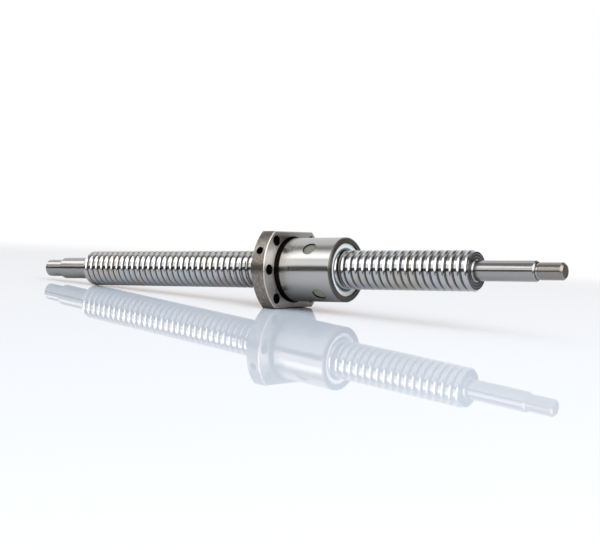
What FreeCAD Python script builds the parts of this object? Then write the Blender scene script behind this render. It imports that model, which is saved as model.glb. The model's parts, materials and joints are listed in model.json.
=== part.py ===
import FreeCAD, Part
import math
import os

from FreeCAD import Placement, Rotation, Vector

# A flanged ball screw, 25 mm nominal, 5 mm lead, right-hand, in millimetres.
# It is drawn along X with the flange's mounting face at x = 0 and the nut's body on the +X side,
# and then laid down as it comes to rest: on one flat of its flange and on the end of its thread.
# Angles round the axis run from +Y towards +Z.

# screw
thread_od = 24.0
lead = 5.0
thread_left = 178.0
thread_right = 131.0
thread_chamfer = 1.0
groove_width = 2.9
groove_depth = 1.3
groove_start = 1.0
groove_sides = 14
left_seat_d = 15.0
left_seat_length = 30.0
left_end_d = 12.0
left_end_length = 16.0
right_seat_d = 12.0
right_seat_length = 38.5
right_end_d = 10.0
right_end_length = 16.5
right_step_chamfer = 0.8
right_relief_width = 1.6
right_relief_depth = 0.4
tip_chamfer = 1.2

# nut
nut_d = 40.0
flange_d = 62.0
flange_flats = 48.0
flange_thickness = 10.0
flange_chamfer = 0.5
undercut_width = 2.6
undercut_depth = 1.0
end_cover = 11.85
nut_chamfer = 0.8
bore_clearance = 0.35
hole_inset = 5.5
hole_d = 6.6
hole_step = 45.0
port_d = 5.0
port_depth = 9.0
port_angle = 157.5
feed_d = 2.0

# return deflectors, one to a ball circuit, each in a round window that leads to the bore
circuit_count = 4
first_deflector_x = 10.4
first_deflector_angle = -41.0
deflector_d = 9.0
deflector_height = 4.0
deflector_recess = 1.0
deflector_clearance = 0.05

# wipers
wiper_width = 4.0
wiper_thickness = 3.0
wiper_recess = 1.2
rear_wiper_recess = 0.6
wiper_clearance = 0.15

left_length = left_seat_length + left_end_length
right_length = right_seat_length + right_end_length
thread_r = thread_od / 2
bore_r = thread_r + bore_clearance
deflector_step = lead * (1 + 1 / circuit_count)
deflector_xs = [first_deflector_x + deflector_step * n for n in range(circuit_count)]
deflector_angles = [first_deflector_angle + 360 / circuit_count * n for n in range(circuit_count)]
body_length = deflector_xs[-1] + end_cover
hole_circle_r = flange_d / 2 - hole_inset
wiper_r = bore_r + wiper_width
seat_r = wiper_r + wiper_clearance

origin = Vector(0, 0, 0)
axis = Vector(1, 0, 0)


def radial(angle):
    return Vector(0, math.cos(math.radians(angle)), math.sin(math.radians(angle)))


# A closed outline of (x, radius) points turned about the axis.
def turned(outline):
    corners = [Vector(x, 0, r) for x, r in outline + outline[:1]]
    return Part.Face(Part.makePolygon(corners)).revolve(origin, axis, 360)


def ring(x0, x1, inner, outer):
    return turned([(x0, inner), (x0, outer), (x1, outer), (x1, inner)])


# A bar with a V groove that winds round it in flat facets, a lead to a turn, and runs on past both ends of the thread.
def grooved_bar():
    first = -groove_sides * math.ceil(thread_left / lead + 2)
    last = groove_sides * math.ceil(thread_right / lead + 2)
    section = [(-groove_width / 2, thread_r), (0, thread_r - groove_depth), (groove_width / 2, thread_r)]
    points = []
    for step in range(first, last + 1):
        turn = step / groove_sides
        points += [axis * (x + groove_start + lead * turn) + radial(180 + 360 * turn) * r for x, r in section]
    count = last - first
    facets = []
    for n in range(count):
        edges = [3 * n, 3 * n + 1, 3 * n + 2]
        strips = list(zip(edges, edges[1:]))
        if n + groove_sides < count:
            strips.append((edges[2], 3 * (n + groove_sides)))
        for left, right in strips:
            facets += [(left, right, right + 3), (left, right + 3, left + 3)]
    start = [1] + [3 * n for n in range(groove_sides + 1)] + [2]
    stop = [3 * n + 2 for n in range(count, count - groove_sides - 1, -1)] + [3 * count, 3 * count + 1]
    for rim, beyond in ((start, lead * (first / groove_sides - 2)), (stop, lead * (last / groove_sides + 2))):
        points.append(axis * beyond)
        facets += [(len(points) - 1, a, b) for a, b in zip(rim, rim[1:] + rim[:1])]
    bar = Part.Shape()
    bar.makeShapeFromMesh((points, facets), 0.001)
    return Part.Solid(Part.Shell(bar.Faces))


# A shaft end beyond the thread, from (distance from the thread's end, radius) points.
def journal(x, side, outline):
    return turned([(x, 0)] + [(x + side * along, r) for along, r in outline] + [(x + side * outline[-1][0], 0)])


def screw():
    rim_r = thread_r - thread_chamfer
    crown = 2 * thread_chamfer
    blank = turned(
        [
            (-thread_left, 0),
            (-thread_left, rim_r),
            (crown - thread_left, rim_r + crown),
            (thread_right - crown, rim_r + crown),
            (thread_right, rim_r),
            (thread_right, 0),
        ]
    )
    left_seat_r = left_seat_d / 2
    left_end_r = left_end_d / 2
    left_outline = [
        (0, left_seat_r),
        (left_seat_length - left_seat_r + left_end_r, left_seat_r),
        (left_seat_length, left_end_r),
        (left_length - tip_chamfer, left_end_r),
        (left_length, left_end_r - tip_chamfer),
    ]
    right_seat_r = right_seat_d / 2
    right_end_r = right_end_d / 2
    relief_r = right_end_r - right_relief_depth
    right_outline = [
        (0, right_seat_r),
        (right_seat_length - right_step_chamfer, right_seat_r),
        (right_seat_length, right_seat_r - right_step_chamfer),
        (right_seat_length, relief_r),
        (right_seat_length + right_relief_width, relief_r),
        (right_seat_length + right_relief_width + right_relief_depth, right_end_r),
        (right_length - tip_chamfer, right_end_r),
        (right_length, right_end_r - tip_chamfer),
    ]
    ends = [journal(-thread_left, -1, left_outline), journal(thread_right, 1, right_outline)]
    return grooved_bar().common(blank).fuse(ends).Solids[0]


# A ring seated in a counterbore, a little short of its floor.
def wiper(face, side, recess):
    front = face + side * recess
    return ring(front, front + side * (wiper_thickness - wiper_clearance), bore_r, wiper_r)


def nut():
    back = -flange_thickness
    flange_r = flange_d / 2
    body_r = nut_d / 2
    body = turned(
        [
            (back, bore_r),
            (back, flange_r - flange_chamfer),
            (back + flange_chamfer, flange_r),
            (-flange_chamfer, flange_r),
            (0, flange_r - flange_chamfer),
            (0, body_r - undercut_depth),
            (undercut_width, body_r - undercut_depth),
            (undercut_width, body_r),
            (body_length - nut_chamfer, body_r),
            (body_length, body_r - nut_chamfer),
            (body_length, bore_r),
        ]
    )
    half = flange_flats / 2
    inset = half - flange_chamfer
    edge = [(back, inset), (back + flange_chamfer, half), (-flange_chamfer, half), (0, inset), (body_length, inset)]
    edge += [(x, -z) for x, z in reversed(edge)]
    slab = Part.Face(Part.makePolygon([Vector(x, -flange_r, z) for x, z in edge + edge[:1]])).extrude(
        Vector(0, flange_d, 0)
    )
    cuts = [
        ring(body_length - wiper_recess - wiper_thickness, body_length, bore_r / 2, seat_r),
        ring(back, back + rear_wiper_recess + wiper_thickness, bore_r / 2, seat_r),
    ]
    for turn in (0, 180):
        for n in (-1, 0, 1):
            rear = axis * back + radial(turn + n * hole_step) * hole_circle_r
            cuts.append(Part.makeCylinder(hole_d / 2, flange_thickness, rear, axis))
    for x, angle in zip(deflector_xs, deflector_angles):
        cuts.append(Part.makeCylinder(deflector_d / 2, nut_d, axis * x, radial(angle)))
    outward = radial(port_angle)
    middle = axis * (back / 2)
    cuts.append(Part.makeCylinder(feed_d / 2, flange_r, middle, outward))
    cuts.append(Part.makeCylinder(port_d / 2, port_depth, middle + outward * (flange_r - port_depth), outward))
    return body.common(slab).cut(cuts).Solids[0]


# A round plug, its outer face a little under the nut's surface, with a pocket left below it for the balls.
def deflector(x, angle):
    outer_r = nut_d / 2 - deflector_recess
    foot = axis * x + radial(angle) * (outer_r - deflector_height)
    plug = Part.makeCylinder(deflector_d / 2 - deflector_clearance, nut_d, foot, radial(angle))
    return plug.common(Part.makeCylinder(outer_r, 2 * deflector_d, axis * (x - deflector_d), axis)).Solids[0]


nodes = {
    "screw_shaft": screw(),
    "nut_body": nut(),
    "front_wiper": wiper(body_length, -1, wiper_recess),
    "rear_wiper": wiper(-flange_thickness, 1, rear_wiper_recess),
}
for n, (x, angle) in enumerate(zip(deflector_xs, deflector_angles), 1):
    nodes[f"return_deflector_{n}"] = deflector(x, angle)

# At rest the flange's far lower edge and the thread's end are on the ground, and the box is centred on the origin.
edge_x = flange_thickness - flange_chamfer
rest_tilt = math.atan2(flange_flats / 2 - thread_r, thread_left - thread_chamfer - edge_x)
left_tip = thread_left + left_length
right_tip = thread_right + right_length
left_x = -left_tip * math.cos(rest_tilt) - (left_end_d / 2 - tip_chamfer) * math.sin(rest_tilt)
right_x = right_tip * math.cos(rest_tilt) + (right_end_d / 2 - tip_chamfer) * math.sin(rest_tilt)
lowest = -flange_flats / 2 * math.cos(rest_tilt) - edge_x * math.sin(rest_tilt)
rest = Placement(
    Vector(-(left_x + right_x) / 2, 0, -lowest), Rotation(Vector(0, 1, 0), -math.degrees(rest_tilt))
)

os.makedirs("parts", exist_ok=True)
for name, shape in nodes.items():
    shape.Placement = rest.multiply(shape.Placement)
    shape.exportStep(f"parts/{name}.step")
    print(name, len(shape.Solids), round(shape.Volume, 1), shape.isValid())
print("rest tilt", round(math.degrees(rest_tilt), 4), "shift", rest.Base, "nut length", flange_thickness + body_length)
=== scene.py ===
import json
import math

import bmesh
import bpy
from mathutils import Matrix, Vector


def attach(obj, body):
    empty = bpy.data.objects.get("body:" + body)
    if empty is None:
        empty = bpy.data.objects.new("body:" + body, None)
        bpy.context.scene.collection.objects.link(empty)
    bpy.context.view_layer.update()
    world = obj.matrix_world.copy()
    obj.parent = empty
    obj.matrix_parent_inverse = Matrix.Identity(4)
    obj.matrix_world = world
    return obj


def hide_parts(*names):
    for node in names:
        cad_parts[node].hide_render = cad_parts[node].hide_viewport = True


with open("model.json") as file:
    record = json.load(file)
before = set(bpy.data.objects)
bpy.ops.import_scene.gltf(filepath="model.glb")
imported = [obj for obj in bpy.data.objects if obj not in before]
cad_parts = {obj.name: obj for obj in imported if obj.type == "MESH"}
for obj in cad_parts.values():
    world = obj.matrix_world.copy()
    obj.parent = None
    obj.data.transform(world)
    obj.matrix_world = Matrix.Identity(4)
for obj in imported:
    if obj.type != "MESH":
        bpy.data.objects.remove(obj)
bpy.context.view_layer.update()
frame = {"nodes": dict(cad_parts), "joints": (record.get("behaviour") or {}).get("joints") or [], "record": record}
mm = 0.001
sharpAngle = math.radians(28)  # an edge that turns more than this stays crisp
print("frame loaded:", len(frame["nodes"]), "solids")

# The screw's axis as it lies: x runs along it from the flange's mounting face, y goes away, z is up.
turnJoint = next(joint for joint in frame["joints"] if joint["name"] == "screw_turn")
along = Vector(turnJoint["axis"]).normalized()
away = Vector((0, 1, 0))
layDown = Matrix((along, away, along.cross(away))).transposed().to_4x4()
layDown.translation = Vector(turnJoint["pos_m"])
ownAxis = Matrix.Identity(4)  # for a piece that is drawn along the axis and laid down as an object


def toLinear(code):
    parts = [int(code[i : i + 2], 16) / 255 for i in (1, 3, 5)]
    return [c / 12.92 if c <= 0.04045 else ((c + 0.055) / 1.055) ** 2.4 for c in parts] + [1.0]


def addNode(tree, kind, inputs=None, **settings):
    node = tree.nodes.new("ShaderNode" + kind)
    for name, value in settings.items():
        setattr(node, name, value)
    for name, value in (inputs or {}).items():
        if isinstance(value, bpy.types.NodeSocket):
            tree.links.new(value, node.inputs[name])
        else:
            node.inputs[name].default_value = value
    return node


def newMaterial(name):
    material = bpy.data.materials.new(name)
    material.use_nodes = True
    tree = material.node_tree
    return material, tree, tree.nodes["Principled BSDF"]


def newObject(name, data):
    thing = bpy.data.objects.new(name, data)
    bpy.context.scene.collection.objects.link(thing)
    return thing


# Camera, at the height and angle of the photograph
view = {
    "place": (0.508948, -0.654953, 0.064525),
    "turn": (86.9749, -3.4457, 36.7020),  # degrees
    "lens": 77.57,  # mm
    "sensor": 36.0,  # mm
}
cameraData = bpy.data.cameras.new("camera")
cameraData.lens = view["lens"]
cameraData.sensor_width = view["sensor"]
camera = newObject("camera", cameraData)
camera.location = view["place"]
camera.rotation_euler = [math.radians(angle) for angle in view["turn"]]
bpy.context.scene.camera = camera
print("camera placed")

# Threaded shaft, in millimetres along its own axis
shaft = {
    "lead": 5.0,
    "threadRadius": 12.0,
    "threadFrom": -178.0,
    "threadTo": 131.0,
    "grooveStart": 1.0,  # where a groove's middle passes on the near side
    "chamfer": 1.0,
    "archRadius": 1.62,  # the groove is a pointed arch: two arcs a little apart
    "archShift": 0.085,
    "ballCircle": 12.5,
    "archSteps": (0.0, 0.45, 0.85, 1.15, 1.36),  # points across half the groove
    "landEdge": 1.58,  # where the broken edge meets the land
    "segments": 96,  # round a turn
    "mergeWithin": 0.002,  # points closer than this become one
    # (x, radius) from the tip in to the thread's end face
    "leftEnd": (
        (-224.0, 0.0), (-224.0, 4.8), (-222.8, 6.0), (-208.0, 6.0), (-206.5, 7.5), (-178.0, 7.5),
    ),
    "rightEnd": (
        (186.0, 0.0), (186.0, 3.8), (184.8, 5.0), (171.5, 5.0), (171.1, 4.6), (169.5, 4.6), (169.5, 5.2),
        (168.7, 6.0), (131.7, 6.0), (131.0, 6.7),
    ),
}


# Half of the thread's section: (distance from the groove's middle, radius)
def threadSection():
    section = []
    for step in shaft["archSteps"]:
        depth = math.sqrt(shaft["archRadius"] ** 2 - (step + shaft["archShift"]) ** 2)
        section.append((step, shaft["ballCircle"] - depth))
    section.append((shaft["landEdge"], shaft["threadRadius"]))
    section.append((shaft["lead"] / 2, shaft["threadRadius"]))
    return section


def radiusOn(section, offset):
    for (d0, r0), (d1, r1) in zip(section, section[1:]):
        if offset <= d1:
            return r0 + (r1 - r0) * (offset - d0) / (d1 - d0)
    return section[-1][1]


def threadRadius(section, x, turn):
    lead = shaft["lead"]
    offset = (x - shaft["grooveStart"] - lead * turn) % lead - lead / 2
    fromEnd = min(x - shaft["threadFrom"], shaft["threadTo"] - x)
    limit = shaft["threadRadius"] - shaft["chamfer"] + fromEnd
    return min(radiusOn(section, abs(offset)), limit)


# Lines round the shaft, from tip to tip. Those of the thread follow the helix and stop at its chamfers.
def shaftColumns():
    lead, rows, chamfer = shaft["lead"], shaft["segments"], shaft["chamfer"]
    section = threadSection()
    start = shaft["threadFrom"] + chamfer
    stop = shaft["threadTo"] - chamfer
    spare = 2  # turns drawn past each end, so that the helix fills the thread
    offsets = sorted({sign * d for d, r in section[:-1] for sign in (-1, 1)} | {lead / 2})

    def threadRing(x):
        return [(x, threadRadius(section, x, i / rows)) for i in range(rows + 1)]

    columns = [[(x, r)] * (rows + 1) for x, r in shaft["leftEnd"]]
    columns += [threadRing(shaft["threadFrom"]), threadRing(start - chamfer / 2)]
    for turn in range(math.floor(start / lead) - spare, math.ceil(stop / lead) + spare):
        for offset in offsets:
            column = []
            for i in range(rows + 1):
                x = shaft["grooveStart"] + lead * (turn + i / rows - 0.5) + offset
                x = min(max(x, start), stop)
                column.append((x, threadRadius(section, x, i / rows)))
            columns.append(column)
    columns += [threadRing(stop + chamfer / 2), threadRing(shaft["threadTo"])]
    columns += [[(x, r)] * (rows + 1) for x, r in reversed(shaft["rightEnd"])]
    return columns


def shaftMesh():
    rows = shaft["segments"]
    columns = shaftColumns()
    points, faces = [], []
    for column in columns:
        for i, (x, r) in enumerate(column):
            angle = 2 * math.pi * i / rows
            points.append((x * mm, r * math.cos(angle) * mm, r * math.sin(angle) * mm))
    for c in range(len(columns) - 1):
        for i in range(rows):
            a = c * (rows + 1) + i
            faces.append((a, a + 1, a + rows + 2, a + rows + 1))
    mesh = bpy.data.meshes.new("threadedShaft")
    mesh.from_pydata(points, [], faces)
    work = bmesh.new()
    work.from_mesh(mesh)
    bmesh.ops.remove_doubles(work, verts=work.verts, dist=shaft["mergeWithin"] * mm)
    bmesh.ops.recalc_face_normals(work, faces=work.faces)
    work.to_mesh(mesh)
    work.free()
    mesh.shade_smooth()
    mesh.set_sharp_from_angle(angle=sharpAngle)
    return mesh


threadedShaft = newObject("threadedShaft", shaftMesh())
threadedShaft.matrix_world = layDown
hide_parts("screw_shaft")
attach(threadedShaft, "screw")
print("threaded shaft made:", len(threadedShaft.data.polygons), "faces")


# A point's place along the axis, its offset from the axis, and how far out that is
def fromAxis(tree, place, lie):
    place = addNode(
        tree,
        "Mapping",
        {"Vector": place, "Location": lie.translation, "Rotation": lie.to_euler()},
        vector_type="TEXTURE",
    ).outputs["Vector"]
    x = addNode(tree, "SeparateXYZ", {"Vector": place}).outputs["X"]
    flat = addNode(tree, "VectorMath", {0: place, 1: (0, 1, 1)}, operation="MULTIPLY").outputs["Vector"]
    radius = addNode(tree, "VectorMath", {0: flat}, operation="LENGTH").outputs["Value"]
    return x, flat, radius


# Lines that a wheel or a tool leaves round the axis, and the direction across them
def toolLines(tree, values, x, flat, radius, lie):
    path = addNode(tree, "Math", {0: x, 1: radius}, operation="ADD").outputs[0]
    lines = addNode(
        tree,
        "TexNoise",
        {"W": path, "Scale": 1 / (values["lineWidth"] * mm), "Detail": values["lineDetail"]},
        noise_dimensions="1D",
    ).outputs["Fac"]
    outward = addNode(tree, "VectorMath", {0: flat}, operation="NORMALIZE").outputs["Vector"]
    across = addNode(tree, "VectorMath", {0: outward, 1: (1, 0, 0)}, operation="ADD").outputs["Vector"]
    across = addNode(
        tree, "Mapping", {"Vector": across, "Rotation": lie.to_euler()}, vector_type="VECTOR"
    ).outputs["Vector"]
    across = addNode(
        tree,
        "VectorTransform",
        {"Vector": across},
        vector_type="VECTOR",
        convert_from="OBJECT",
        convert_to="WORLD",
    ).outputs["Vector"]
    return lines, across


# The last step of both steels: colours laid one over another, each in its zone, on metal that its lines blur
def finishSteel(tree, shader, values, colour, zones, rough, lines, across):
    for zone, name in zones:
        colour = addNode(
            tree, "Mix", {"Factor": zone, "A": colour, "B": toLinear(values[name])}, data_type="RGBA"
        ).outputs["Result"]
    bump = addNode(
        tree,
        "Bump",
        {"Height": lines, "Strength": values["lineStrength"], "Distance": values["lineDepth"] * mm},
    )
    shader.inputs["Metallic"].default_value = 1.0
    shader.inputs["Anisotropic"].default_value = values["spread"]
    tree.links.new(across, shader.inputs["Tangent"])
    tree.links.new(colour, shader.inputs["Base Color"])
    tree.links.new(rough, shader.inputs["Roughness"])
    tree.links.new(bump.outputs["Normal"], shader.inputs["Normal"])


# Bearing steel, hardened and ground: bright and nearly mirror-like, with fine lines round the axis. A thin,
# uneven film of oil warms it in patches, and the groove is painted darker towards its bottom as shade. The end
# faces are turned, so they are dull.
shaftSteel = {
    "colour": "#BCBDC0",
    "oiled": "#B9B2A7",
    # painted shade deep in the groove
    "groove": "#5A5C60",
    "journal": "#A09E9C",
    "tip": "#918B85",  # the right drive end, browned by handling
    "tipFace": "#75695F",
    "tipFrom": 171.0,  # mm
    "face": "#88888C",
    "faceLimit": 0.95,  # how squarely a surface has to look along the axis to be an end face
    "ring": "#3E4045",
    "ringPitch": 1.7,  # mm; the tool marks on the end faces are finer, and are drawn this coarse to show
    "grooveDepth": 1.1,  # mm
    "grooveShade": (0.65, 0.95),  # shares of the depth over which the painted shade in the groove deepens
    "threadEdge": (0.1, 0.2),  # mm from the thread's end faces, over which its finish begins
    "roughness": 0.16,
    "roughRange": (-0.04, 0.06),  # what the lines add
    "journalRoughness": 0.19,
    "tipRoughness": 0.26,
    "faceRoughness": 0.42,
    "spread": 0.7,  # how much more the grinding lines blur along the axis than round it
    "lineWidth": 0.35,  # mm; grinding lines are finer, and are drawn this coarse to show
    "lineDetail": 3.0,
    "lineStrength": 0.12,
    "lineDepth": 0.01,  # mm
    "patchSize": 14.0,  # mm
    "patchDetail": 4.0,
    "patchRange": (0.42, 0.72),  # of the noise, from bare to oiled
}


def groundSteel():
    material, tree, shader = newMaterial("groundBearingSteel")
    coordinates = addNode(tree, "TexCoord").outputs
    place = coordinates["Object"]
    x, flat, radius = fromAxis(tree, place, ownAxis)
    lines, across = toolLines(tree, shaftSteel, x, flat, radius, ownAxis)
    patches = addNode(
        tree,
        "TexNoise",
        {"Vector": place, "Scale": 1 / (shaftSteel["patchSize"] * mm), "Detail": shaftSteel["patchDetail"]},
    ).outputs["Fac"]
    bare, oiled = shaftSteel["patchRange"]
    film = addNode(
        tree, "MapRange", {"Value": patches, "From Min": bare, "From Max": oiled}
    ).outputs["Result"]

    # The thread and the painted shade in its groove, and the journals beyond it
    near, far = shaftSteel["threadEdge"]
    left, right = shaft["threadFrom"], shaft["threadTo"]
    begun = addNode(
        tree, "MapRange", {"Value": x, "From Min": (left + near) * mm, "From Max": (left + far) * mm}
    ).outputs["Result"]
    ended = addNode(
        tree, "MapRange", {"Value": x, "From Min": (right - far) * mm, "From Max": (right - near) * mm}
    ).outputs["Result"]
    onThread = addNode(tree, "Math", {0: begun, 1: ended}, operation="SUBTRACT", use_clamp=True).outputs[0]
    land, depth = shaft["threadRadius"], shaftSteel["grooveDepth"]
    pale, dark = (land - share * depth for share in shaftSteel["grooveShade"])
    # Painted shade: the groove darkens towards its bottom
    deep = addNode(
        tree, "MapRange", {"Value": radius, "From Min": pale * mm, "From Max": dark * mm}
    ).outputs["Result"]
    paintedGrooveShade = addNode(tree, "Math", {0: deep, 1: onThread}, operation="MULTIPLY").outputs[0]
    onJournal = addNode(tree, "Math", {0: 1.0, 1: onThread}, operation="SUBTRACT").outputs[0]
    onTip = addNode(
        tree, "Math", {0: x, 1: shaftSteel["tipFrom"] * mm}, operation="GREATER_THAN"
    ).outputs[0]

    # The end faces, with their rings of tool marks
    facing = addNode(
        tree, "VectorMath", {0: coordinates["Normal"], 1: (1, 0, 0)}, operation="DOT_PRODUCT"
    ).outputs["Value"]
    facing = addNode(tree, "Math", {0: facing}, operation="ABSOLUTE").outputs[0]
    flatEnd = addNode(
        tree, "Math", {0: facing, 1: shaftSteel["faceLimit"]}, operation="GREATER_THAN"
    ).outputs[0]
    perMetre = 2 * math.pi / (shaftSteel["ringPitch"] * mm)
    swing = addNode(tree, "Math", {0: radius, 1: perMetre}, operation="MULTIPLY").outputs[0]
    marks = addNode(tree, "Math", {0: swing}, operation="SINE").outputs[0]
    rings = addNode(tree, "MapRange", {"Value": marks, "From Min": -1.0}).outputs["Result"]
    onRing = addNode(tree, "Math", {0: flatEnd, 1: rings}, operation="MULTIPLY").outputs[0]
    onTipFace = addNode(tree, "Math", {0: flatEnd, 1: onTip}, operation="MULTIPLY").outputs[0]

    low, high = (shaftSteel["roughness"] + change for change in shaftSteel["roughRange"])
    rough = addNode(tree, "MapRange", {"Value": lines, "To Min": low, "To Max": high}).outputs["Result"]
    for zone, name in ((onJournal, "journalRoughness"), (onTip, "tipRoughness"), (flatEnd, "faceRoughness")):
        rough = addNode(tree, "Mix", {"Factor": zone, "A": rough, "B": shaftSteel[name]}).outputs["Result"]
    zones = (
        (film, "oiled"),
        (paintedGrooveShade, "groove"),
        (onJournal, "journal"),
        (onTip, "tip"),
        (flatEnd, "face"),
        (onRing, "ring"),
        (onTipFace, "tipFace"),
    )
    finishSteel(tree, shader, shaftSteel, toLinear(shaftSteel["colour"]), zones, rough, lines, across)
    return material


threadedShaft.data.materials.append(groundSteel())

# Bearing steel again. The barrel is ground to a bright satin and the flange's face is fine-turned. The rim
# and the barrel's end are rough-turned, so they are darker and warmer with a mottled scale. The undercut, the
# band beside it, its corner on the face and the window walls are painted dark brown as shade, and the holes,
# the port and the wiper's seat are painted black as the shade inside them.
nutSteel = {
    "barrel": "#B5B4B2",
    "rim": "#989188",
    "scale": "#736C64",
    "face": "#CDC8C3",
    "end": "#6C6865",
    # painted shade: black for the inside of the holes, the port and the wiper's seat
    "black": "#272422",
    # painted shade: dark brown for the undercut, the band beside it, the corner ring on the face and the window
    # walls
    "recessShade": "#29241F",
    # in mm, from the flange's mounting face and from the axis
    "barrelRadius": 20.0,
    "barrelLength": 41.0,
    "groundFrom": 3.3,  # the wheel stops a little short of the undercut; the band it leaves is painted with the undercut's shade
    "facedFrom": 21.0,  # and the facing tool stops at this radius; inside it the face is painted with the undercut's shade
    "seatRadius": 16.5,  # of the wiper's seat
    "holeRadius": 3.3,
    "holeCircle": 25.5,
    "holeStep": 45.0,  # degrees, in two groups of three
    "portRadius": 2.5,
    "portPlace": -5.0,  # along the axis
    "edgeMargin": 0.03,  # how far the painted black shade reaches past the edge of a hole or seat
    "skinMargin": 0.06,  # how far the facets of the barrel fall short of its radius
    "flangeMargin": 0.05,  # what lies further along than this is the barrel's
    "endBand": 0.9,  # the barrel's end and its chamfer
    "portAngle": 157.5,  # degrees
    "faceLimit": 0.5,  # how squarely a surface has to look along the axis to be a face
    "barrelRoughness": 0.24,
    "barrelRange": (-0.04, 0.06),  # what the lines add
    "turnedRoughness": 0.36,
    "turnedRange": (-0.1, 0.1),  # what the mottle adds
    "spread": 0.9,  # how much more the grinding lines blur along the axis than round it
    "lineWidth": 0.4,  # mm; drawn coarser than the real grinding lines so that they show
    "lineDetail": 3.0,
    "lineStrength": 0.1,
    "lineDepth": 0.01,  # mm
    "mottleSize": 1.2,  # mm
    "mottleDetail": 5.0,
    "mottleRange": (0.35, 0.7),  # of the noise, from clean to scaled
}


# Whether a point of the nut is on the barrel's ground skin, and each zone with the name of its colour
def nutZones(tree, normal, x, flat, radius):
    pastFlange = addNode(
        tree, "Math", {0: x, 1: nutSteel["flangeMargin"] * mm}, operation="GREATER_THAN"
    ).outputs[0]
    skin = (nutSteel["barrelRadius"] - nutSteel["skinMargin"]) * mm
    outside = addNode(tree, "Math", {0: radius, 1: skin}, operation="GREATER_THAN").outputs[0]
    ground = addNode(
        tree, "Math", {0: x, 1: nutSteel["groundFrom"] * mm}, operation="GREATER_THAN"
    ).outputs[0]
    onBarrel = addNode(tree, "Math", {0: ground, 1: outside}, operation="MULTIPLY").outputs[0]
    facing = addNode(tree, "VectorMath", {0: normal, 1: along}, operation="DOT_PRODUCT").outputs["Value"]
    onFace = addNode(tree, "Math", {0: facing, 1: nutSteel["faceLimit"]}, operation="GREATER_THAN").outputs[0]
    nearEnd = (nutSteel["barrelLength"] - nutSteel["endBand"]) * mm
    onEnd = addNode(tree, "Math", {0: x, 1: nearEnd}, operation="GREATER_THAN").outputs[0]
    # Painted shade: the undercut, the band beside it and the window walls
    inRecessShade = addNode(tree, "Math", {0: pastFlange, 1: onBarrel}, operation="SUBTRACT").outputs[0]
    inRecessShade = addNode(tree, "Math", {0: inRecessShade, 1: onEnd}, operation="SUBTRACT", use_clamp=True).outputs[0]
    # Painted shade on the face inside the faced radius, widening the undercut's dark ring
    inside = addNode(
        tree, "Math", {0: radius, 1: nutSteel["facedFrom"] * mm}, operation="LESS_THAN"
    ).outputs[0]
    inCornerShade = addNode(tree, "Math", {0: inside, 1: onFace}, operation="MULTIPLY").outputs[0]
    # Painted shade in the wiper's seat and everything inside it
    seatEdge = (nutSteel["seatRadius"] + nutSteel["edgeMargin"]) * mm
    inSeatShade = addNode(tree, "Math", {0: radius, 1: seatEdge}, operation="LESS_THAN").outputs[0]

    # The six holes, painted black as the shade in their bores, folded into one quarter
    quarter = addNode(tree, "VectorMath", {0: flat}, operation="ABSOLUTE").outputs["Vector"]
    step, circle = math.radians(nutSteel["holeStep"]), nutSteel["holeCircle"] * mm
    upper = (0, circle * math.cos(step), circle * math.sin(step))
    toUpper = addNode(tree, "VectorMath", {0: quarter, 1: upper}, operation="DISTANCE").outputs["Value"]
    middle = (0, circle, 0)
    toMiddle = addNode(tree, "VectorMath", {0: quarter, 1: middle}, operation="DISTANCE").outputs["Value"]
    toHole = addNode(tree, "Math", {0: toUpper, 1: toMiddle}, operation="MINIMUM").outputs[0]
    holeEdge = (nutSteel["holeRadius"] + nutSteel["edgeMargin"]) * mm
    inHoleShade = addNode(tree, "Math", {0: toHole, 1: holeEdge}, operation="LESS_THAN").outputs[0]

    # The grease port, painted black as the shade in its hole, by the distance from its own axis
    turn = math.radians(nutSteel["portAngle"])
    port = (0, math.cos(turn), math.sin(turn))
    height = addNode(tree, "VectorMath", {0: flat, 1: port}, operation="DOT_PRODUCT").outputs["Value"]
    foot = addNode(tree, "VectorMath", {0: port, "Scale": height}, operation="SCALE").outputs["Vector"]
    beside = addNode(tree, "VectorMath", {0: flat, 1: foot}, operation="DISTANCE").outputs["Value"]
    ahead = addNode(tree, "Math", {0: x, 1: nutSteel["portPlace"] * mm}, operation="SUBTRACT").outputs[0]
    toPort = addNode(tree, "CombineXYZ", {"X": ahead, "Y": beside}).outputs["Vector"]
    toPort = addNode(tree, "VectorMath", {0: toPort}, operation="LENGTH").outputs["Value"]
    portEdge = (nutSteel["portRadius"] + nutSteel["edgeMargin"]) * mm
    inPortShade = addNode(tree, "Math", {0: toPort, 1: portEdge}, operation="LESS_THAN").outputs[0]
    nearPort = addNode(tree, "Math", {0: height, 1: 0.0}, operation="GREATER_THAN").outputs[0]
    inPortShade = addNode(tree, "Math", {0: inPortShade, 1: nearPort}, operation="MULTIPLY").outputs[0]
    zones = (
        (onFace, "face"),
        (inCornerShade, "recessShade"),
        (onEnd, "end"),
        (onBarrel, "barrel"),
        (inRecessShade, "recessShade"),
        (inSeatShade, "black"),
        (inHoleShade, "black"),
        (inPortShade, "black"),
    )
    return onBarrel, zones


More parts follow.
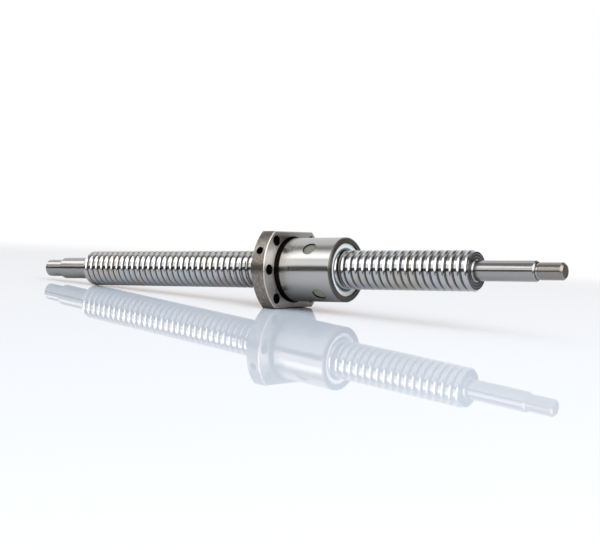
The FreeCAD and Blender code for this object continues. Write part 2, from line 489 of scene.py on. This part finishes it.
def turnedSteel():
    material, tree, shader = newMaterial("turnedBearingSteel")
    coordinates = addNode(tree, "TexCoord").outputs
    place = coordinates["Object"]
    x, flat, radius = fromAxis(tree, place, layDown)
    lines, across = toolLines(tree, nutSteel, x, flat, radius, layDown)
    onBarrel, zones = nutZones(tree, coordinates["Normal"], x, flat, radius)
    mottle = addNode(
        tree,
        "TexNoise",
        {"Vector": place, "Scale": 1 / (nutSteel["mottleSize"] * mm), "Detail": nutSteel["mottleDetail"]},
    ).outputs["Fac"]
    clean, scaled = nutSteel["mottleRange"]
    spots = addNode(
        tree, "MapRange", {"Value": mottle, "From Min": clean, "From Max": scaled}
    ).outputs["Result"]
    low, high = (nutSteel["turnedRoughness"] + change for change in nutSteel["turnedRange"])
    turnedRough = addNode(
        tree, "MapRange", {"Value": mottle, "To Min": low, "To Max": high}
    ).outputs["Result"]
    low, high = (nutSteel["barrelRoughness"] + change for change in nutSteel["barrelRange"])
    barrelRough = addNode(
        tree, "MapRange", {"Value": lines, "To Min": low, "To Max": high}
    ).outputs["Result"]
    rough = addNode(tree, "Mix", {"Factor": onBarrel, "A": turnedRough, "B": barrelRough}).outputs["Result"]
    zones = ((spots, "scale"), *zones)
    finishSteel(tree, shader, nutSteel, toLinear(nutSteel["rim"]), zones, rough, lines, across)
    return material


# Acetal, moulded: white and slightly waxy, with a soft sheen and a faint grain from the mould. Its inner edge is
# painted with shade.
wiperAcetal = {
    "colour": "#FAFBFB",
    "shade": "#F2F5F6",
    "lipShade": "#596F76",  # painted shade on the inner edge that wipes the thread
    "lipRadius": (13.2, 14.0),  # mm, from full to none
    "roughness": 0.38,
    "roughRange": (-0.06, 0.06),  # what the grain adds
    "grain": 0.5,  # mm; the mould's grain is finer, and is drawn this coarse to show
    "grainDetail": 3.0,
    "grainStrength": 0.08,
    "grainDepth": 0.02,  # mm
}

# Glass-filled nylon, moulded: a dull grey-green with paler specks of filler.
deflectorNylon = {
    "colour": "#8B907F",
    "shade": "#74796B",
    "roughness": 0.5,
    "roughRange": (-0.06, 0.06),  # what the specks add
    "grain": 0.35,  # mm; the specks are finer, and are drawn this coarse to show
    "grainDetail": 3.0,
    "grainStrength": 0.08,
    "grainDepth": 0.02,  # mm
}


def mouldedPlastic(name, values):
    material, tree, shader = newMaterial(name)
    place = addNode(tree, "TexCoord").outputs["Object"]
    grain = addNode(
        tree,
        "TexNoise",
        {"Vector": place, "Scale": 1 / (values["grain"] * mm), "Detail": values["grainDetail"]},
    ).outputs["Fac"]
    zones = [(grain, "shade")]
    # Painted shade near the bore, darkest at the inner edge
    if "lipShade" in values:
        radius = fromAxis(tree, place, layDown)[-1]
        inner, outer = values["lipRadius"]
        onLipShade = addNode(
            tree, "MapRange", {"Value": radius, "From Min": outer * mm, "From Max": inner * mm}
        ).outputs["Result"]
        zones.append((onLipShade, "lipShade"))
    colour = toLinear(values["colour"])
    for zone, layer in zones:
        colour = addNode(
            tree, "Mix", {"Factor": zone, "A": colour, "B": toLinear(values[layer])}, data_type="RGBA"
        ).outputs["Result"]
    low, high = (values["roughness"] + change for change in values["roughRange"])
    rough = addNode(tree, "MapRange", {"Value": grain, "To Min": low, "To Max": high})
    bump = addNode(
        tree,
        "Bump",
        {"Height": grain, "Strength": values["grainStrength"], "Distance": values["grainDepth"] * mm},
    )
    tree.links.new(colour, shader.inputs["Base Color"])
    tree.links.new(rough.outputs["Result"], shader.inputs["Roughness"])
    tree.links.new(bump.outputs["Normal"], shader.inputs["Normal"])
    return material


finishes = {
    "nut_steel": turnedSteel(),
    "wiper_plastic": mouldedPlastic("mouldedAcetal", wiperAcetal),
    "deflector_plastic": mouldedPlastic("glassFilledNylon", deflectorNylon),
}
# The other solids keep their shape, and each gets the finish of its slot
for part in frame["record"]["subparts"]:
    if part["material_slot"] in finishes:
        mesh = frame["nodes"][part["node"]].data
        mesh.materials.clear()
        mesh.materials.append(finishes[part["material_slot"]])
        mesh.shade_smooth()
        mesh.set_sharp_from_angle(angle=sharpAngle)
print("finishes set")

# White sweep: a glossy floor that mirrors the object faintly, under an even white surround. Sizes and places
# are in metres, and a level of 1 is white.
studio = {
    "white": "#FFFFFF",
    "black": "#000000",
    "floorSize": 60.0,
    "floorTint": "#F2F7FF",
    "mirrorTint": "#DDD4CB",  # the floor scatters the rest, so it is bluer where it mirrors the metal
    "mirrorReach": (0.45, 0.9),  # from the middle, over which the mirror fades out
    "mirrorIor": 1.5,
    "surround": 0.45,  # the white surround's level on the object; the panels give the rest
    "roomHalf": 3.0,
    "roomBack": 0.3,
    "roomHeight": 3.4,
    "wallLevel": 0.04,
    "ceilingLevel": 0.38,
    "wallTop": (0.7, 0.9),  # shares of the height over which the wall turns to ceiling
    "card": ((0.5, 1.6), (3.0, 1.2)),  # foot of the dark card behind, to the right
    "cardFoot": 0.05,
    # corners of the black sheet, along the object and back round
    "sheet": (
        (-0.26, -0.05), (0.07, -0.31), (0.3, -0.26), (0.42, 0.0),
        (1.9, 0.0), (1.6, -1.4), (-0.5, -2.1), (-1.9, -1.3),
    ),
    "sheetHeight": 0.0005,
    "patchPlace": (0.008, 0.033),
    "patchSize": (0.17, 0.1),
    "patchTurn": 128.0,  # degrees
    "patchFade": (0.2, 1.0),  # from full to none, as shares of half its size
    "softboxLevel": 2.75,
    "softboxSize": (2.2, 0.74),
    "softboxPlace": (-1.47, -0.99, 1.31),
    "lowboxLevel": 1.5,
    "lowboxSize": (2.4, 0.7),
    "lowboxPlace": (-0.63, -1.58, 0.655),
    "fillLevel": 2.9,
    "fillSize": (2.0, 1.6),
    "fillPlace": (1.4, -0.75, 1.0),
    "overheadPower": 12.0,  # watts
    "overheadSize": 2.6,
    "overheadPlace": (0.0, 0.3, 2.2),
}


# 1 for the rays that show the background: straight to the camera, or by way of metal or glass
def seenRays(tree):
    rays = addNode(tree, "LightPath").outputs
    seen = addNode(
        tree, "Math", {0: rays["Is Camera Ray"], 1: rays["Is Glossy Ray"]}, operation="MAXIMUM"
    ).outputs[0]
    return addNode(tree, "Math", {0: seen, 1: rays["Is Transmission Ray"]}, operation="MAXIMUM").outputs[0]


# Acrylic sheet, polished: pale, with a faint sharp mirror near the object that fades into a plain white sweep
def glossyFloor():
    material, tree, shader = newMaterial("glossyAcrylic")
    tree.nodes.remove(shader)
    black, white = toLinear(studio["black"]), toLinear(studio["white"])
    place = addNode(tree, "TexCoord").outputs["Object"]
    distance = addNode(tree, "VectorMath", {0: place}, operation="LENGTH").outputs["Value"]
    inner, outer = studio["mirrorReach"]
    near = addNode(
        tree,
        "MapRange",
        {"Value": distance, "From Min": inner, "From Max": outer, "To Min": 1.0, "To Max": 0.0},
        interpolation_type="SMOOTHSTEP",
    ).outputs["Result"]
    grazing = addNode(tree, "Fresnel", {"IOR": studio["mirrorIor"]}).outputs["Fac"]
    mirrored = addNode(tree, "Math", {0: near, 1: grazing}, operation="MULTIPLY").outputs[0]
    gloss = addNode(
        tree, "Mix", {"Factor": mirrored, "A": black, "B": toLinear(studio["mirrorTint"])}, data_type="RGBA"
    ).outputs["Result"]
    tint = addNode(
        tree, "Mix", {"Factor": near, "A": white, "B": toLinear(studio["floorTint"])}, data_type="RGBA"
    ).outputs["Result"]
    rest = addNode(tree, "Invert", {"Color": gloss}).outputs["Color"]
    base = addNode(
        tree, "Mix", {"Factor": 1.0, "A": tint, "B": rest}, data_type="RGBA", blend_type="MULTIPLY"
    ).outputs["Result"]
    matt = addNode(tree, "BsdfDiffuse", {"Color": base})
    mirror = addNode(tree, "BsdfGlossy", {"Color": gloss, "Roughness": 0.0})
    both = addNode(tree, "AddShader", {0: matt.outputs[0], 1: mirror.outputs[0]})
    far = addNode(tree, "Math", {0: 1.0, 1: near}, operation="SUBTRACT").outputs[0]
    plain = addNode(tree, "Math", {0: seenRays(tree), 1: far}, operation="MULTIPLY").outputs[0]
    glow = addNode(tree, "Emission")
    sweep = addNode(tree, "MixShader", {0: plain, 1: both.outputs[0], 2: glow.outputs[0]})
    tree.links.new(sweep.outputs[0], tree.nodes["Material Output"].inputs["Surface"])
    return material


def flatSheet(name, width, depth):
    corners = [(x * width / 2, y * depth / 2, 0) for x, y in ((-1, -1), (1, -1), (1, 1), (-1, 1))]
    mesh = bpy.data.meshes.new(name)
    mesh.from_pydata(corners, [], [(0, 1, 2, 3)])
    return newObject(name, mesh)


floor = flatSheet("floor", studio["floorSize"], studio["floorSize"])
floor.data.materials.append(glossyFloor())

# White where it is seen, and dimmer as light on the object
world = bpy.data.worlds.new("surround")
world.use_nodes = True
background = world.node_tree.nodes["Background"]
background.inputs["Color"].default_value = toLinear(studio["white"])
level = addNode(
    world.node_tree,
    "MapRange",
    {"Value": seenRays(world.node_tree), "To Min": studio["surround"], "To Max": 1.0},
)
world.node_tree.links.new(level.outputs["Result"], background.inputs["Strength"])
bpy.context.scene.world = world


# A glowing surface that the metal reflects. The floor's sharp mirror sees through it.
def stageGlow(name):
    material, tree, shader = newMaterial(name)
    tree.nodes.remove(shader)
    glow = addNode(tree, "Emission")
    clear = addNode(tree, "BsdfTransparent")
    sharp = addNode(tree, "LightPath").outputs["Is Singular Ray"]
    surface = addNode(tree, "MixShader", {0: sharp, 1: glow.outputs[0], 2: clear.outputs[0]})
    tree.links.new(surface.outputs[0], tree.nodes["Material Output"].inputs["Surface"])
    return material, glow


# A piece of the studio that shows only in reflections, and lights matt surfaces if it scatters
def standOnStage(piece, scatters):
    piece.visible_camera = False
    piece.visible_diffuse = scatters
    piece.visible_shadow = False


# Dark walls under a grey ceiling, open at the back but for a card to the right, and a black sheet on the
# floor beside the object that draws the dark line along the metal
def studioWall():
    material, glow = stageGlow("studioWall")
    tree = material.node_tree
    place = addNode(tree, "TexCoord").outputs["Object"]
    height = addNode(tree, "SeparateXYZ", {"Vector": place}).outputs["Z"]
    low, high = (share * studio["roomHeight"] for share in studio["wallTop"])
    level = addNode(
        tree,
        "MapRange",
        {
            "Value": height,
            "From Min": low,
            "From Max": high,
            "To Min": studio["wallLevel"],
            "To Max": studio["ceilingLevel"],
        },
    ).outputs["Result"]
    tree.links.new(level, glow.inputs["Strength"])
    return material


side, back, top = studio["roomHalf"], studio["roomBack"], studio["roomHeight"]
corners = ((-side, back), (-side, -side), (side, -side), (side, back))
points = [(x, y, 0) for x, y in corners]
points += [(x, y, top) for x, y in corners]
points += [(x, y, studio["sheetHeight"]) for x, y in studio["sheet"]]
points += [(x, y, studio["cardFoot"]) for x, y in studio["card"]]
points += [(x, y, top) for x, y in reversed(studio["card"])]
sheetFrom = 2 * len(corners)
cardFrom = sheetFrom + len(studio["sheet"])
walls = [(0, 1, 5, 4), (1, 2, 6, 5), (2, 3, 7, 6)]
ceiling = (4, 5, 6, 7)
roomMesh = bpy.data.meshes.new("room")
roomMesh.from_pydata(
    points, [], [*walls, ceiling, range(sheetFrom, cardFrom), range(cardFrom, len(points))]
)
room = newObject("room", roomMesh)
room.data.materials.append(studioWall())
standOnStage(room, False)


# A painted shadow: a black patch under the nut, soft at its edge and seen only in reflections, that stands for the
# floor's shade and darkens the underside of the metal
def shadowPatch():
    material, glow = stageGlow("shadowPatch")
    glow.inputs["Strength"].default_value = studio["wallLevel"]
    tree = material.node_tree
    place = addNode(tree, "TexCoord").outputs["Object"]
    distance = addNode(tree, "VectorMath", {0: place}, operation="LENGTH").outputs["Value"]
    inner, outer = studio["patchFade"]
    edge = addNode(
        tree,
        "MapRange",
        {"Value": distance, "From Min": inner, "From Max": outer},
        interpolation_type="SMOOTHSTEP",
    ).outputs["Result"]
    clearness = tree.nodes["Mix Shader"].inputs[0]
    sharp = clearness.links[0].from_socket
    clear = addNode(tree, "Math", {0: sharp, 1: edge}, operation="MAXIMUM").outputs[0]
    tree.links.new(clear, clearness)
    return material


patch = flatSheet("patch", 2, 2)  # from -1 to 1, as its fade is measured, and then scaled to its size
patch.location = (*studio["patchPlace"], studio["sheetHeight"])
patch.rotation_euler.z = math.radians(studio["patchTurn"])
patch.scale = [size / 2 for size in studio["patchSize"]] + [1.0]
patch.data.materials.append(shadowPatch())
standOnStage(patch, False)


# A soft panel that faces the object's middle. One that doesn't scatter is there for the reflections alone.
def addPanel(name, scatters):
    panel = flatSheet(name, *studio[name + "Size"])
    panel.location = studio[name + "Place"]
    panel.rotation_euler = (-panel.location).to_track_quat("Z", "Y").to_euler()
    material, glow = stageGlow(name)
    glow.inputs["Strength"].default_value = studio[name + "Level"]
    panel.data.materials.append(material)
    standOnStage(panel, scatters)


addPanel("softbox", False)
addPanel("lowbox", False)
addPanel("fill", True)

overhead = bpy.data.lights.new("overhead", "AREA")
overhead.size = studio["overheadSize"]
overhead.energy = studio["overheadPower"]
lamp = newObject("overhead", overhead)
lamp.location = studio["overheadPlace"]
lamp.visible_camera = False
lamp.visible_glossy = False
print("studio lit")

bpy.context.scene.view_settings.view_transform = "Standard"
